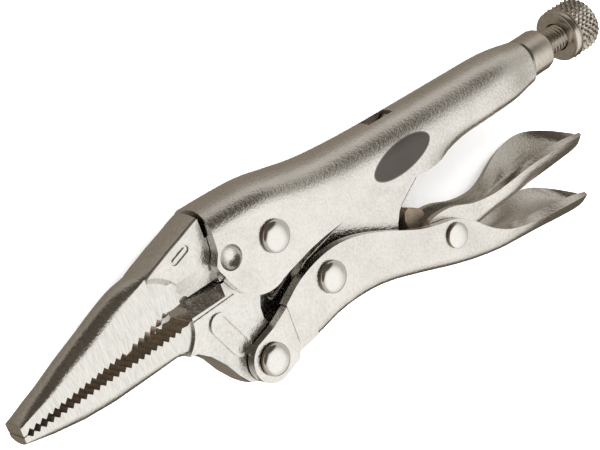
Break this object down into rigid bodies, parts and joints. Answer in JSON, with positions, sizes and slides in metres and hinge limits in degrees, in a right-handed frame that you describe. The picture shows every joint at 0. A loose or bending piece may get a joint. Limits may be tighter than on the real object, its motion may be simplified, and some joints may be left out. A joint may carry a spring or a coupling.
{
  "type": "locking pliers",
  "caption": "Long-nose locking pliers: toothed jaws with a wire cutter, toggle-locked sheet handles, a release lever and a knurled adjusting screw.",
  "frame": {"origin": "centre of the bounding box in plan, at the lowest point, with the pliers lying on one side", "axes": "+X from the jaw tip to the adjusting knob, +Y towards the upper handle's back, +Z along the pivots"},
  "size_m": [0.1664, 0.0506, 0.0186],
  "materials": {
    "plated_sheet": "satin nickel-chrome plating",
    "forged_jaw": "satin plating over ground and forged steel",
    "rivet": "polished domes",
    "screw_steel": "plated, turned and knurled",
    "spring_steel": "drawn wire"
  },
  "bodies": {
    "upper_body": {"upper_handle": "plated_sheet", "fixed_jaw": "forged_jaw", "jaw_rivet": "rivet", "screw_bush": "screw_steel", "tension_spring": "spring_steel"},
    "lower_jaw_body": {"lower_jaw": "forged_jaw"},
    "lower_handle_body": {"lower_handle": "plated_sheet", "handle_rivet": "rivet", "link_rivet": "rivet", "lever_rivet": "rivet"},
    "link_body": {"toggle_link": "plated_sheet"},
    "lever_body": {"release_lever": "plated_sheet"},
    "screw_body": {"adjusting_screw": "screw_steel"},
    "knob_body": {"adjusting_knob": "screw_steel"}
  },
  "joints": [
    {"name": "jaw_open", "type": "hinge", "parent": "upper_body", "child": "lower_jaw_body", "pos_m": [-0.0202, 0.01331, 0.0093], "axis": [0, 0, 1], "range_deg": [0, 30], "deforming": ["tension_spring"]},
    {"name": "handle_open", "type": "hinge", "parent": "lower_jaw_body", "child": "lower_handle_body", "pos_m": [-0.0302, -0.00899, 0.0093], "axis": [0, 0, 1], "range_deg": [-68.5, 0]},
    {"name": "link_swing", "type": "hinge", "parent": "lower_handle_body", "child": "link_body", "pos_m": [-0.0107, -0.00119, 0.0093], "axis": [0, 0, 1], "range_deg": [0, 70]},
    {"name": "lever_press", "type": "hinge", "parent": "lower_handle_body", "child": "lever_body", "pos_m": [0.0233, -0.01009, 0.0093], "axis": [0, 0, -1], "range_deg": [0, 6]},
    {"name": "knob_turn", "type": "hinge", "parent": "screw_body", "child": "knob_body", "pos_m": [0.0741, 0.01296, 0.0093], "axis": [1, 0, 0], "range_deg": [0, 3600]},
    {"name": "screw_travel", "type": "slide", "parent": "upper_body", "child": "screw_body", "axis": [1, 0, 0], "range_m": [0, 0.0102]}
  ],
  "couplings": [
    {"joint": "handle_open", "follows": "jaw_open", "ratio": -2.25},
    {"joint": "link_swing", "follows": "jaw_open", "ratio": 2.3},
    {"joint": "screw_travel", "follows": "knob_turn", "m_per_rad": 0.00015915}
  ]
}
